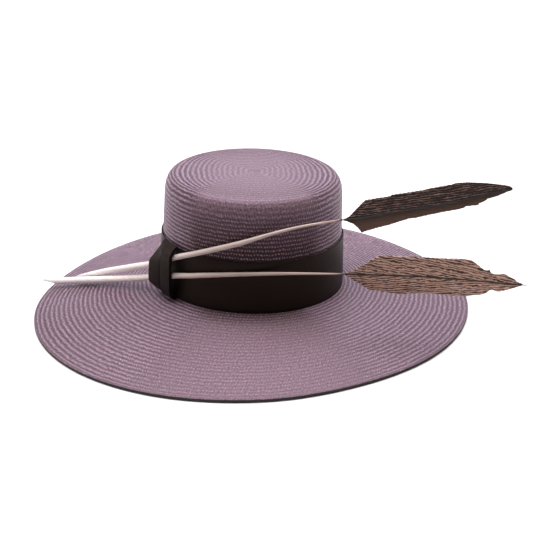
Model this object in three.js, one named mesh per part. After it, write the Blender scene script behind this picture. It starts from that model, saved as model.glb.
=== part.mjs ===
// A wide straw boater with a tall leather band and two long feathers held in its knot.
// Millimetres, +Z up. The front of the hat is at -X and its left side, with the knot, at -Y.
// The hat lies on its brim: the rim is at Z = 0 and the crown leans back with the brim's slope.
import * as THREE from 'three';
import { mergeVertices } from 'three/addons/utils/BufferGeometryUtils.js';

// Driving dimensions
const headHalfLength = 101.5; // the straw's oval where crown and brim join, a 57 to 58 cm head
const headHalfWidth = 86;
const gap = 0.3; // between neighbouring pieces
const strawWall = 1.6;
const leatherWall = 1.5;

const seatHeight = 35.5; // the join's height above the rim, at the middle of the head
const seatFrontLift = THREE.MathUtils.degToRad(3.1);
const seatFarLift = THREE.MathUtils.degToRad(2.6);

const crownHeight = 128; // from the join to the edge of the tip
const crownLean = 0.034; // how much the wall draws in for each mm of height
const shoulderHeight = 14;
const shoulderDepth = 10.3;
const tipRise = 2;

const brimWidth = 142;
const brimWall = 1.8;
const hemWidth = 6;
const hemThickness = 4.4;
const hemRound = 1.4;
const farRimLift = 9;
const liftStart = 0.25; // about the sine of the angle at which the far rim leaves the table
const liftSkew = 0.15; // the far rim stays down longer at the back of the hat
// How far the hand-shaped rim stands out of the oval, each 30 degrees from the back of the hat
const rimBulges = [0.5, -2.5, -1, 0, 0.5, -1, 3.2, 3.4, 3.3, 2.4, -0.6, 1.2];

const bandHeight = 60;
const blockRadius = 94; // the round block that is pressed to the head's oval
const roundSteps = 96;

// The colours and sheen of the photograph's materials
const materials = {
  straw: new THREE.MeshStandardMaterial({ color: '#9c8299', roughness: 0.55, metalness: 0 }),
  leather: new THREE.MeshStandardMaterial({ color: '#2a2320', roughness: 0.5, metalness: 0 }),
  quill: new THREE.MeshStandardMaterial({ color: '#ddd2cc', roughness: 0.6, metalness: 0 }),
  darkVane: new THREE.MeshStandardMaterial({ color: '#34241f', roughness: 0.8, metalness: 0 }),
  paleVane: new THREE.MeshStandardMaterial({ color: '#8d6f5f', roughness: 0.8, metalness: 0 }),
};

// The head's oval: a point on it in plan, moved out along its normal, then shrunk to the middle
function ovalPoint(angle, outward, shrink = 1) {
  const along = Math.cos(angle);
  const across = Math.sin(angle);
  const normal = new THREE.Vector2(along / headHalfLength, across / headHalfWidth).normalize();
  return new THREE.Vector2(headHalfLength * along, headHalfWidth * across)
    .addScaledVector(normal, outward)
    .multiplyScalar(shrink);
}

// The crown stands on a tilted seat, so all that goes round the head is placed from there
const seat = new THREE.Matrix4()
  .makeRotationFromEuler(new THREE.Euler(seatFarLift, seatFrontLift, 0))
  .setPosition(0, 0, seatHeight);

function onSeat(angle, outward, height, shrink = 1) {
  const plan = ovalPoint(angle, outward, shrink);
  return new THREE.Vector3(plan.x, plan.y, height).applyMatrix4(seat);
}

// A point at a distance off the crown's outer wall, which draws in with height
function offWall(angle, distance, height) {
  return onSeat(angle, distance - crownLean * height, height);
}

// Round pieces are turned as on a round block, then pressed to the oval of the head
function pressed(profile, place) {
  const geometry = new THREE.LatheGeometry(profile, roundSteps);
  geometry.deleteAttribute('normal');
  geometry.deleteAttribute('uv');
  const spots = geometry.attributes.position;
  for (let i = 0; i < spots.count; i += 1) {
    const reach = Math.hypot(spots.getX(i), spots.getZ(i));
    const angle = Math.atan2(spots.getX(i), spots.getZ(i));
    const spot = place(angle, reach, spots.getY(i));
    spots.setXYZ(i, spot.x, spot.y, spot.z);
  }
  return mergeVertices(geometry);
}

// A closed body skinned over loops of points. Each loop runs along its front and back along its
// rear, so that its ends are closed by joining front points to the rear points behind them.
function skin(loops) {
  const size = loops[0].length;
  const corners = [];
  const quad = (a, b, c, d) => corners.push(a, b, c, a, c, d);
  for (let row = 0; row + 1 < loops.length; row += 1) {
    for (let k = 0; k < size; k += 1) {
      const next = (k + 1) % size;
      quad(loops[row][k], loops[row][next], loops[row + 1][next], loops[row + 1][k]);
    }
  }
  const first = loops[0];
  const last = loops[loops.length - 1];
  for (let k = 0; k + 1 < size / 2; k += 1) {
    const rear = size - 1 - k;
    quad(first[k + 1], first[k], first[rear], first[rear - 1]);
    quad(last[k], last[k + 1], last[rear - 1], last[rear]);
  }
  const geometry = new THREE.BufferGeometry().setFromPoints(corners);
  return mergeVertices(geometry);
}

// Crown: a drum wall, a rounded shoulder and a slightly domed tip, open below. Each of these
// lines is the outer face where inward is 0 and the inner face where it is the wall's thickness.
const shoulderStart = crownHeight - shoulderHeight;
const shoulderReach = blockRadius - crownLean * shoulderStart - shoulderDepth;

function sideLine(inward) {
  const top = shoulderStart - gap;
  return [
    new THREE.Vector2(blockRadius - inward, gap),
    new THREE.Vector2(blockRadius - crownLean * top - inward, top),
  ];
}

function shoulderLine(inward) {
  const steps = 6;
  return Array.from({ length: steps + 1 }, (_, step) => {
    const turn = ((step / steps) * Math.PI) / 2;
    const reach = shoulderReach + (shoulderDepth - inward) * Math.cos(turn);
    return new THREE.Vector2(reach, shoulderStart + (shoulderHeight - inward) * Math.sin(turn));
  });
}

function tipLine(inward) {
  return [1, 0.8, 0.4, 0].map((share) => { // how far out from the tip's middle
    const rise = tipRise * (1 - share * share);
    return new THREE.Vector2((shoulderReach - gap) * share, crownHeight - inward + rise);
  });
}

function onCrown(angle, reach, height) {
  const outward = Math.max(reach, shoulderReach) - blockRadius;
  return onSeat(angle, outward, height, Math.min(reach / shoulderReach, 1));
}

function ringWall(line) {
  const outer = line(0);
  return pressed([...line(strawWall).reverse(), ...outer, line(strawWall).pop()], onCrown);
}

const crownSide = () => ringWall(sideLine);
const crownShoulder = () => ringWall(shoulderLine);
const crownTip = () => pressed([...tipLine(strawWall).reverse(), ...tipLine(0)], onCrown);

// Brim: a straight slope from the crown's foot to a turned hem, which lies level
const hemReach = blockRadius + brimWidth - hemWidth;

function rimHeight(angle) {
  const start = liftStart + liftSkew * Math.cos(angle);
  const far = Math.max(0, (Math.sin(angle) - start) / (1 - start));
  return hemThickness + farRimLift * far * far;
}

function rimBulge(angle) {
  const place = THREE.MathUtils.euclideanModulo((angle / (2 * Math.PI)) * rimBulges.length, rimBulges.length);
  const before = Math.floor(place) % rimBulges.length;
  const turn = (1 - Math.cos((place - Math.floor(place)) * Math.PI)) / 2;
  return THREE.MathUtils.lerp(rimBulges[before], rimBulges[(before + 1) % rimBulges.length], turn);
}

function onBrim(angle, reach, height) {
  if (reach <= blockRadius) return onSeat(angle, reach - blockRadius, height);
  const beyondHem = Math.max(reach - hemReach, 0);
  const plan = ovalPoint(angle, brimWidth - hemWidth + rimBulge(angle) + beyondHem);
  const atHem = new THREE.Vector3(plan.x, plan.y, rimHeight(angle) + height);
  const share = Math.min((reach - blockRadius) / (hemReach - blockRadius), 1);
  return onSeat(angle, 0, height).lerp(atHem, share);
}

function brim() {
  const rim = blockRadius + brimWidth;
  const inner = blockRadius - strawWall;
  const middle = (blockRadius + hemReach) / 2;
  const profile = [
    [inner, -brimWall],
    [blockRadius, -brimWall],
    [middle, -brimWall],
    [hemReach - brimWall, -brimWall],
    [hemReach, -hemThickness],
    [rim - hemRound, -hemThickness],
    [rim, -hemThickness + hemRound],
    [rim, -hemRound],
    [rim - hemRound * 0.3, -hemRound * 0.3],
    [rim - hemRound, 0],
    [hemReach, 0],
    [middle, 0],
    [blockRadius, 0],
    [inner, 0],
    [inner, -brimWall],
  ];
  return pressed(profile.map(([reach, height]) => new THREE.Vector2(reach, height)), onBrim);
}

// Hat band: a strip of leather round the foot of the crown
function hatBand() {
  const inner = blockRadius + gap;
  const outer = inner + leatherWall;
  const draw = crownLean * bandHeight;
  const top = gap + bandHeight;
  const profile = [
    [inner, gap],
    [outer, gap],
    [outer - draw / 2, gap + bandHeight / 2],
    [outer - draw, top],
    [inner - draw, top],
    [inner, gap],
  ];
  const place = (angle, reach, height) => onSeat(angle, reach - blockRadius, height);
  return pressed(profile.map(([reach, height]) => new THREE.Vector2(reach, height)), place);
}

// Knot: two leather straps that bow out over the quills. Each row gives the height up the band
// and how far the strap's outer face stands off the straw at its front, middle and rear edge.
const wrapStart = THREE.MathUtils.degToRad(200.3);
const wrapEnd = THREE.MathUtils.degToRad(217.8);
const strapStart = 0.577; // the narrow strap's edges, as shares of the wrap's width
const strapEnd = 0.99;
const strapGap = 0.6; // the straps bow in flat facets, which come closer than their corners
const wrapRows = [
  { height: 61.9, front: 3, middle: 3, rear: 2.9 },
  { height: 59.8, front: 5.6, middle: 8, rear: 9.2 },
  { height: 53, front: 9.8, middle: 14.2, rear: 13.4 },
  { height: 39, front: 21.6, middle: 16.3, rear: 13.5 },
  { height: 25, front: 21.9, middle: 15.3, rear: 13 },
  { height: 14, front: 21.6, middle: 14.9, rear: 12.4 },
  { height: 6, front: 14.8, middle: 12.4, rear: 10.8 },
  { height: 3, front: 11, middle: 8.6, rear: 7.8 },
  { height: 1.8, front: 2.6, middle: 2.6, rear: 2.6 },
];

function standOff(row, share) {
  if (share < 0.5) return THREE.MathUtils.lerp(row.front, row.middle, share * 2);
  return THREE.MathUtils.lerp(row.middle, row.rear, share * 2 - 1);
}

// The strap's section at one share of the wrap's width, moved out by the depth of leather below
function strapSection(share, outward) {
  const line = wrapRows.map((row) => new THREE.Vector2(standOff(row, share), row.height));
  return line.map((point, i) => {
    const before = line[Math.max(i - 1, 0)];
    const after = line[Math.min(i + 1, line.length - 1)];
    const along = after.clone().sub(before).normalize();
    return point.clone().add(new THREE.Vector2(-along.y, along.x).multiplyScalar(outward));
  });
}

function strap(startShare, endShare, outward) {
  const acrossSteps = 5;
  const loops = wrapRows.map(() => []);
  const layers = [];
  for (const depth of [outward, outward - leatherWall]) {
    for (let step = 0; step <= acrossSteps; step += 1) {
      const share = THREE.MathUtils.lerp(startShare, endShare, step / acrossSteps);
      const angle = THREE.MathUtils.lerp(wrapStart, wrapEnd, share);
      const section = strapSection(share, depth);
      layers.push(section.map((point) => offWall(angle, point.x, point.y)));
    }
  }
  const front = layers.slice(0, acrossSteps + 1);
  const rear = layers.slice(acrossSteps + 1).reverse();
  for (const layer of [...front, ...rear]) {
    layer.forEach((spot, row) => loops[row].push(spot));
  }
  return skin(loops.reverse());
}

const knotWrap = () => strap(0, 1, 0);
const knotStrap = () => strap(strapStart, strapEnd, leatherWall + strapGap);

// Quills: bare shafts from their cut ends, under the knot and round the crown to the vanes
const lowerQuillRoute = [
  { x: -244, y: 67, z: 11.5, width: 1.6 },
  { x: -228, y: 58, z: 14, width: 7.4 },
  { x: -204, y: 45, z: 19.4, width: 8.4 },
  { x: -167, y: 18, z: 31.1, width: 8.4 },
  { x: -131, y: -11, z: 44.3, width: 7.8 },
  { x: -107.4, y: -34.2, z: 55.5, width: 7.4 },
  { x: -94, y: -49.2, z: 62.6, width: 7.1 },
  { x: -77.2, y: -64, z: 69, width: 6.6 },
  { x: -66, y: -72.8, z: 72.4, width: 6.3 },
  { x: -50.6, y: -81, z: 76, width: 6 },
  { x: -8.7, y: -91.2, z: 80.2, width: 5 },
  { x: 38, y: -96, z: 81.4, width: 3.4 },
  { x: 98.6, y: -101, z: 80.9, width: 2 },
];
const upperQuillRoute = [
  { x: -203, y: 57, z: 18.6, width: 3 },
  { x: -186.6, y: 45, z: 26.1, width: 6.4 },
  { x: -167.2, y: 27, z: 37, width: 7.6 },
  { x: -130.8, y: -8, z: 56.9, width: 8 },
  { x: -106.5, y: -34.5, z: 71.7, width: 7.4 },
  { x: -93, y: -48.6, z: 81.7, width: 6.8 },
  { x: -78, y: -61.4, z: 90.2, width: 6.6 },
  { x: -61.5, y: -73, z: 97.8, width: 6.4 },
  { x: -40.7, y: -83.9, z: 106.4, width: 6.4 },
  { x: -10.6, y: -91.1, z: 116, width: 6 },
  { x: 21.3, y: -94.5, z: 126.5, width: 4 },
  { x: 52.9, y: -97.5, z: 135.2, width: 3 },
  { x: 97.5, y: -101, z: 143.1, width: 2.2 },
];

function shaft(route) {
  const sides = 10;
  const steps = 34;
  const curve = new THREE.CatmullRomCurve3(route.map(({ x, y, z }) => new THREE.Vector3(x, y, z)));
  const upright = new THREE.Vector3(0, 0, 1);
  const loops = [];
  for (let step = 0; step <= steps; step += 1) {
    const share = step / steps;
    const place = share * (route.length - 1);
    const row = Math.min(Math.floor(place), route.length - 2);
    const radius = THREE.MathUtils.lerp(route[row].width, route[row + 1].width, place - row) / 2;
    const middle = curve.getPoint(share);
    const along = curve.getTangent(share);
    const sideways = new THREE.Vector3().crossVectors(along, upright).normalize();
    const upwards = new THREE.Vector3().crossVectors(sideways, along);
    const loop = [];
    for (let k = 0; k < sides; k += 1) {
      const turn = ((k + 0.5) / sides) * Math.PI * 2;
      const spot = middle.clone().addScaledVector(sideways, radius * Math.cos(turn));
      loop.push(spot.addScaledVector(upwards, radius * Math.sin(turn)));
    }
    loops.push(loop);
  }
  return skin(loops.reverse());
}

// Feathers: each row gives the rib's place and how far the vane reaches above and below it
const upperFeatherRows = [
  { x: 98, z: 143, above: 1.2, below: 1.2 },
  { x: 104, z: 143.4, above: 6, below: 8 },
  { x: 119, z: 145.2, above: 19, below: 16.6 },
  { x: 146, z: 150.4, above: 18.8, below: 14.4 },
  { x: 183, z: 157, above: 19.4, below: 9.8 },
  { x: 212, z: 162.2, above: 20.2, below: 8 },
  { x: 230, z: 166.6, above: 17.6, below: 9.4 },
  { x: 246, z: 171, above: 11.4, below: 8.4 },
  { x: 258, z: 173.8, above: 6.6, below: 5 },
  { x: 272, z: 176.6, above: 1.2, below: 1.2 },
];
const lowerFeatherRows = [
  { x: 99, z: 81.2, above: 1.2, below: 1.2 },
  { x: 106, z: 81, above: 4, below: 7 },
  { x: 121, z: 80.3, above: 12.4, below: 17.4 },
  { x: 139, z: 79.6, above: 22.6, below: 20.4 },
  { x: 178, z: 77.8, above: 23.2, below: 20 },
  { x: 226, z: 74, above: 24, below: 19.6 },
  { x: 241, z: 72.2, above: 15.8, below: 16.4 },
  { x: 259, z: 70.2, above: 11.6, below: 10 },
  { x: 272, z: 68.8, above: 8, below: 4.6 },
  { x: 285, z: 67.6, above: 1.8, below: 1.2 },
  { x: 291, z: 67, above: 1.1, below: 1.1 },
];
const featherStartY = -101;
const featherEndY = -115;
const ribThickness = 2;
const ribHalfWidth = 0.8;
const vaneThickness = 1.2;
const vaneCurl = 3.5; // how far an edge 24 mm from the rib curls back

function feather(rows) {
  const start = rows[0].x;
  const length = rows[rows.length - 1].x - start;
  const loops = rows.map(({ x, z, above, below }) => {
    const share = (x - start) / length;
    const ribY = THREE.MathUtils.lerp(featherStartY, featherEndY, share);
    const midBelow = (below + ribHalfWidth) / 2;
    const midAbove = (above + ribHalfWidth) / 2;
    const heights = [-below, -midBelow, -ribHalfWidth, ribHalfWidth, midAbove, above];
    const face = (facing) => (height) => {
      const onRib = Math.abs(height) <= ribHalfWidth;
      const half = (onRib ? THREE.MathUtils.lerp(ribThickness, vaneThickness, share) : vaneThickness) / 2;
      const curl = vaneCurl * (height / 24) ** 2;
      return new THREE.Vector3(x, ribY + curl + facing * half, z + height);
    };
    return [...heights.map(face(-1)), ...heights.reverse().map(face(1))];
  });
  return skin(loops.reverse());
}

// The whole hat
const hat = new THREE.Group();

function add(name, geometry, material) {
  const mesh = new THREE.Mesh(geometry, material);
  mesh.name = name;
  hat.add(mesh);
}

add('crown_side', crownSide(), materials.straw);
add('crown_shoulder', crownShoulder(), materials.straw);
add('crown_tip', crownTip(), materials.straw);
add('brim', brim(), materials.straw);
add('hat_band', hatBand(), materials.leather);
add('knot_wrap', knotWrap(), materials.leather);
add('knot_strap', knotStrap(), materials.leather);
add('upper_quill', shaft(upperQuillRoute), materials.quill);
add('lower_quill', shaft(lowerQuillRoute), materials.quill);
add('upper_feather', feather(upperFeatherRows), materials.darkVane);
add('lower_feather', feather(lowerFeatherRows), materials.paleVane);

// The origin is on the table, under the middle of everything
const bounds = new THREE.Box3().setFromObject(hat);
const centre = bounds.getCenter(new THREE.Vector3());
hat.position.set(-centre.x, -centre.y, -bounds.min.z);
hat.updateMatrixWorld(true);

const boater = new THREE.Group();
boater.add(hat);

export default boater;
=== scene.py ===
import math

import bmesh
import bpy
import numpy as np
from mathutils import Matrix, Quaternion, Vector


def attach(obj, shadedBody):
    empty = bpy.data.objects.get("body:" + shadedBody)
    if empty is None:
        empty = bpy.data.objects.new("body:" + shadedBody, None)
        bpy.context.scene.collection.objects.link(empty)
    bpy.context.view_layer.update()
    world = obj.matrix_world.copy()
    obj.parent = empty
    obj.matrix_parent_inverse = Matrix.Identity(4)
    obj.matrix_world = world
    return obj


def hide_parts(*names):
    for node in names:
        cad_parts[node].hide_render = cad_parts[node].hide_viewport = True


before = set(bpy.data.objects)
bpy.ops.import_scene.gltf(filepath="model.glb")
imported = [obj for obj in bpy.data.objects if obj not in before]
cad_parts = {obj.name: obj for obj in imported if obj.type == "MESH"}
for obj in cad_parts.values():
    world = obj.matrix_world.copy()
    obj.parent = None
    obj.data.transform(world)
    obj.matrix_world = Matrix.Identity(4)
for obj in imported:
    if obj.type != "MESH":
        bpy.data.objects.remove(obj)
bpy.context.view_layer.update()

# What several pieces share: the oval of the head at the crown's foot, and how it is tilted
seat = {
    "middle": (-0.02215, 0.0012, 0.0355),
    "frontLift": math.radians(3.1),
    "farLift": math.radians(2.6),
    "halfLength": 0.1015,
    "halfWidth": 0.086,
    "lean": 0.034,  # how much the wall draws in for each metre of height
}
seatMatrix = (
    Matrix.Translation(seat["middle"])
    @ Matrix.Rotation(seat["farLift"], 4, "X")
    @ Matrix.Rotation(seat["frontLift"], 4, "Y")
)


def linear(hexColour):  # sRGB hex to the linear colour that shaders take
    values = [int(hexColour[i : i + 2], 16) / 255 for i in (1, 3, 5)]
    return [v / 12.92 if v <= 0.04045 else ((v + 0.055) / 1.055) ** 2.4 for v in values] + [1.0]


# Adds a node. Settings are its properties, or its inputs where they are given by number or name.
# An input takes a value or another node's output, and a whole node stands for its first output
def addNode(tree, kind, settings=None):
    node = tree.nodes.new("ShaderNode" + kind)
    for key, value in (settings or {}).items():
        if isinstance(value, bpy.types.Node):
            value = value.outputs[0]
        if isinstance(value, bpy.types.NodeSocket):
            tree.links.new(value, node.inputs[key])
        elif isinstance(key, str) and hasattr(node, key):
            setattr(node, key, value)
        else:
            node.inputs[key].default_value = value
    return node


def calculate(tree, operation, *values):
    return addNode(tree, "Math", {"operation": operation, **dict(enumerate(values))})


# A mix of two colours, each a hex value or the output of a node
def mixColours(tree, share, first, second):
    ends = [linear(colour) if isinstance(colour, str) else colour for colour in (first, second)]
    mix = addNode(tree, "Mix", {"data_type": "RGBA", 0: share, 6: ends[0], 7: ends[1]})
    return mix.outputs[2]


def mapRange(tree, value, start, end=(0.0, 1.0), ease="LINEAR"):  # maps one range onto another
    settings = {"interpolation_type": ease, "Value": value, "From Min": start[0]}
    settings.update({"From Max": start[1], "To Min": end[0], "To Max": end[1]})
    return addNode(tree, "MapRange", settings)


def addSurface(tree, settings):  # the shader that a material ends in
    shader = addNode(tree, "BsdfPrincipled", settings)
    addNode(tree, "OutputMaterial", {"Surface": shader})


def newMaterial(name):
    material = bpy.data.materials.new(name)
    material.use_nodes = True
    tree = material.node_tree
    tree.nodes.clear()
    return material, tree


# The oval of the head in plan, moved out along its normal
def ovalPoint(angle, outward):
    along, across = np.cos(angle), np.sin(angle)
    normalX, normalY = along / seat["halfLength"], across / seat["halfWidth"]
    length = np.hypot(normalX, normalY)
    return (
        seat["halfLength"] * along + outward * normalX / length,
        seat["halfWidth"] * across + outward * normalY / length,
    )


def readPoints(mesh):
    points = np.empty(len(mesh.vertices) * 3)
    mesh.vertices.foreach_get("co", points)
    return points.reshape(-1, 3)


def writePoints(mesh, points):
    mesh.vertices.foreach_set("co", points.ravel())
    mesh.update()


def readAttribute(mesh, name):
    values = np.empty(len(mesh.vertices))
    mesh.attributes[name].data.foreach_get("value", values)
    return values


def writeAttribute(mesh, name, values):
    attribute = mesh.attributes.get(name) or mesh.attributes.new(name, "FLOAT", "POINT")
    attribute.data.foreach_set("value", values)


def onSeat(points):  # from the upright crown's own space to the tilted seat
    matrix = np.array(seatMatrix)
    return points @ matrix[:3, :3].T + matrix[:3, 3]


# Floor, lights and camera
print("stage")
studio = {
    "floorHalf": 12.0,
    "floorColour": "#e2e0e1",
    "cameraPlace": (-0.02215, -1.628824, 0.763559),
    "cameraTurn": math.radians(0.942),  # to the right of straight ahead
    "cameraDown": math.radians(24.003),
    "cameraRoll": math.radians(-1.564),
    "lens": 103.362,
}
bpy.ops.object.select_all(action="DESELECT")
bpy.ops.mesh.primitive_grid_add(x_subdivisions=8, y_subdivisions=8, size=2 * studio["floorHalf"])
floor = bpy.context.object
floor.name = "floor"
floorPaper, tree = newMaterial("mattePaper")
addSurface(
    tree, {"Base Color": linear(studio["floorColour"]), "Roughness": 0.9, "Specular IOR Level": 0.2}
)
floor.data.materials.append(floorPaper)

# Soft boxes: (name, place, aims at, width, height, watts, colour)
softBoxes = (
    ("topBox", (-0.1, 0.25, 2.4), (0.0, 0.05, 0.1), 2.8, 2.0, 126.0, "#fefdff"),
    ("backBox", (0.1, 2.4, 1.0), (0.0, 0.0, 0.1), 2.8, 1.2, 20.0, "#f2ecff"),
    ("leftBox", (-1.6, 0.45, 0.7), (0.0, 0.0, 0.1), 0.9, 0.9, 9.0, "#fff4ee"),
    ("rightBox", (1.6, 0.6, 0.7), (0.0, 0.0, 0.1), 0.9, 0.9, 9.0, "#fff4ee"),
)
for name, place, aim, width, height, watts, colour in softBoxes:
    light = bpy.data.lights.new(name, "AREA")
    light.color = linear(colour)[:3]
    light.shape = "RECTANGLE"
    light.size, light.size_y, light.energy = width, height, watts
    box = bpy.data.objects.new(name, light)
    box.location = place
    box.rotation_euler = (Vector(aim) - Vector(place)).to_track_quat("-Z", "Y").to_euler()
    bpy.context.collection.objects.link(box)

world = bpy.data.worlds.new("studio")
bpy.context.scene.world = world
world.use_nodes = True
world.node_tree.nodes["Background"].inputs["Color"].default_value = linear("#f2cdb2")
world.node_tree.nodes["Background"].inputs["Strength"].default_value = 0.06
bpy.context.scene.view_settings.view_transform = "Standard"

lens = bpy.data.cameras.new("camera")
lens.lens = studio["lens"]
lens.sensor_width = 36
lens.clip_end = 60
camera = bpy.data.objects.new("camera", lens)
ahead = Vector(
    (
        math.sin(studio["cameraTurn"]) * math.cos(studio["cameraDown"]),
        math.cos(studio["cameraTurn"]) * math.cos(studio["cameraDown"]),
        -math.sin(studio["cameraDown"]),
    )
)
camera.location = studio["cameraPlace"]
camera.rotation_mode = "QUATERNION"
camera.rotation_quaternion = ahead.to_track_quat("-Z", "Y") @ Quaternion(
    (0, 0, 1), studio["cameraRoll"]
)
bpy.context.collection.objects.link(camera)
bpy.context.scene.camera = camera


# Woven straw
weave = {
    "segments": 360,
    "outerRelief": 0.0006,  # how deep the groove between two rows is
    "innerRelief": 0.0003,
    "crossRelief": 0.4,  # the share of that depth on the near and far sides of the hat
    "crossWidth": 0.24,  # over what width rows break up into stitches
    "farBreak": 0.5,  # they do so less on the far side
    "innerCuts": 1,
}


def startEdit(piece):
    bpy.ops.object.select_all(action="DESELECT")
    piece.select_set(True)
    bpy.context.view_layer.objects.active = piece
    bpy.ops.object.mode_set(mode="EDIT")


# A shell of oval rings, pulled out of one circle ring by ring: (half length, half width, height)
def pullRings(name, rings, segments):
    bpy.ops.object.select_all(action="DESELECT")
    bpy.ops.mesh.primitive_circle_add(vertices=segments, radius=1, location=(0, 0, rings[0][2]))
    piece = bpy.context.object
    piece.name = name
    piece.data.name = name
    bpy.ops.object.transform_apply(location=True, rotation=False, scale=False)
    bpy.ops.object.mode_set(mode="EDIT")
    bpy.ops.mesh.select_all(action="SELECT")
    bpy.ops.transform.resize(value=(rings[0][0], rings[0][1], 1), center_override=(0, 0, 0))
    for before, after in zip(rings, rings[1:]):
        rise = {"value": (0, 0, after[2] - before[2])}
        bpy.ops.mesh.extrude_region_move(TRANSFORM_OT_translate=rise)
        stretch = (after[0] / before[0], after[1] / before[1], 1)
        bpy.ops.transform.resize(value=stretch, center_override=(0, 0, 0))
    bpy.ops.object.mode_set(mode="OBJECT")
    return piece


# Writes for each point of a shell which row of the weave it is on, where round the oval it is,
# how deep it is pressed and how it lies across the wall
def markRings(piece, rings, rows, reliefs, crossFrom):
    points = readPoints(piece.data)
    ring = np.arange(len(points)) // weave["segments"]
    halves = np.array([(r[0], r[1]) for r in rings])[ring]
    turn = np.arctan2(points[:, 1] / halves[:, 1], points[:, 0] / halves[:, 0]) / (2 * math.pi)
    fromEnds = np.sin(turn * 2 * math.pi) ** 2
    cross = np.clip((fromEnds - crossFrom) / weave["crossWidth"], 0, 1)
    cross = cross * cross * (3 - 2 * cross)
    cross *= np.where(points[:, 1] > 0, weave["farBreak"], 1.0)
    writeAttribute(piece.data, "row", np.array(rows)[ring])
    writeAttribute(piece.data, "turn", turn % 1.0)
    # 1 on the near side of the hat, less on the far side and 0 at its ends
    writeAttribute(piece.data, "cross", cross)
    writeAttribute(piece.data, "relief", np.array(reliefs)[ring])
    # clear also scales the painted shade of the grooves and sides and the painted highlight of the
    # crests
    writeAttribute(piece.data, "clear", np.ones(len(points)))  # how plainly the rows show
    writeAttribute(piece.data, "ring", ring.astype(float))


# Cuts the strips between rings that the test picks, so that a row of the weave can be rounded
def cutRows(piece, cuts, test):
    startEdit(piece)
    bpy.ops.mesh.select_mode(type="EDGE")
    bpy.ops.mesh.select_all(action="DESELECT")
    shell = bmesh.from_edit_mesh(piece.data)
    ring = shell.verts.layers.float["ring"]
    for edge in shell.edges:
        low, high = sorted(vertex[ring] for vertex in edge.verts)
        edge.select_set(high - low > 0.9 and test(low))
    bmesh.update_edit_mesh(piece.data)
    bpy.ops.mesh.subdivide(number_cuts=cuts)
    bpy.ops.object.mode_set(mode="OBJECT")


# Sinks the grooves between the rows along the normals
def pressRows(piece):
    mesh = piece.data
    normals = np.empty(len(mesh.vertices) * 3)
    mesh.vertices.foreach_get("normal", normals)
    row, relief, cross, clear = (
        readAttribute(mesh, name) for name in ("row", "relief", "cross", "clear")
    )
    sink = relief * clear * np.cos(math.pi * row) ** 2
    sink *= 1 - (1 - weave["crossRelief"]) * cross
    writePoints(mesh, readPoints(mesh) - normals.reshape(-1, 3) * sink[:, None])


# UV map of the weave: across is stitches along the row, counted from the nearest of the four
# sides of the hat, because the sisal is woven square and mitred; up is rows
def mapWeave(piece, points, stitch):
    mesh = piece.data
    row, turn, ring = (readAttribute(mesh, name) for name in ("row", "turn", "ring"))
    reach = np.zeros(len(points))  # distance round the ring
    for value in np.unique(np.round(ring, 3)):
        members = np.flatnonzero(np.abs(ring - value) < 1e-3)
        order = members[np.argsort(turn[members])]
        steps = np.linalg.norm(np.diff(points[order], axis=0), axis=1)
        reach[order] = np.concatenate(([0.0], np.cumsum(steps)))
    loopVertex = np.empty(len(mesh.loops), dtype=int)
    mesh.loops.foreach_get("vertex_index", loopVertex)
    starts = np.empty(len(mesh.polygons), dtype=int)
    sizes = np.empty(len(mesh.polygons), dtype=int)
    mesh.polygons.foreach_get("loop_start", starts)
    mesh.polygons.foreach_get("loop_total", sizes)
    firstLoop = np.repeat(starts, sizes)
    loopTurn, firstTurn = turn[loopVertex], turn[loopVertex[firstLoop]]
    loopTurn = firstTurn + (loopTurn - firstTurn + 0.5) % 1.0 - 0.5
    faceTurn = np.add.reduceat(loopTurn, starts) / sizes
    side = np.repeat(np.round(faceTurn * 4), sizes)  # 0 back, 1 right, 2 front, 3 left side
    radius = np.linalg.norm(points[:, :2], axis=1)[loopVertex]
    across = (loopTurn - side / 4) * 2 * math.pi * radius / stitch
    weaveMap = mesh.uv_layers.new(name="weave")
    weaveMap.data.foreach_set("uv", np.column_stack((across, row[loopVertex])).ravel())


def tightenShell(piece):
    startEdit(piece)
    bpy.ops.mesh.select_all(action="SELECT")
    bpy.ops.mesh.normals_make_consistent(inside=False)
    bpy.ops.object.mode_set(mode="OBJECT")


def closeRings(piece):  # joins the last ring to the first
    startEdit(piece)
    bpy.ops.mesh.select_mode(type="VERT")
    bpy.ops.mesh.select_all(action="DESELECT")
    bpy.ops.mesh.select_non_manifold()
    bpy.ops.mesh.bridge_edge_loops()
    bpy.ops.object.mode_set(mode="OBJECT")


def selectRing(piece, number):
    bpy.ops.mesh.select_mode(type="VERT")
    bpy.ops.mesh.select_all(action="DESELECT")
    shell = bmesh.from_edit_mesh(piece.data)
    ring = shell.verts.layers.float["ring"]
    for vertex in shell.verts:
        vertex.select_set(abs(vertex[ring] - number) < 0.01)
    shell.select_flush_mode()
    bmesh.update_edit_mesh(piece.data)


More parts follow.
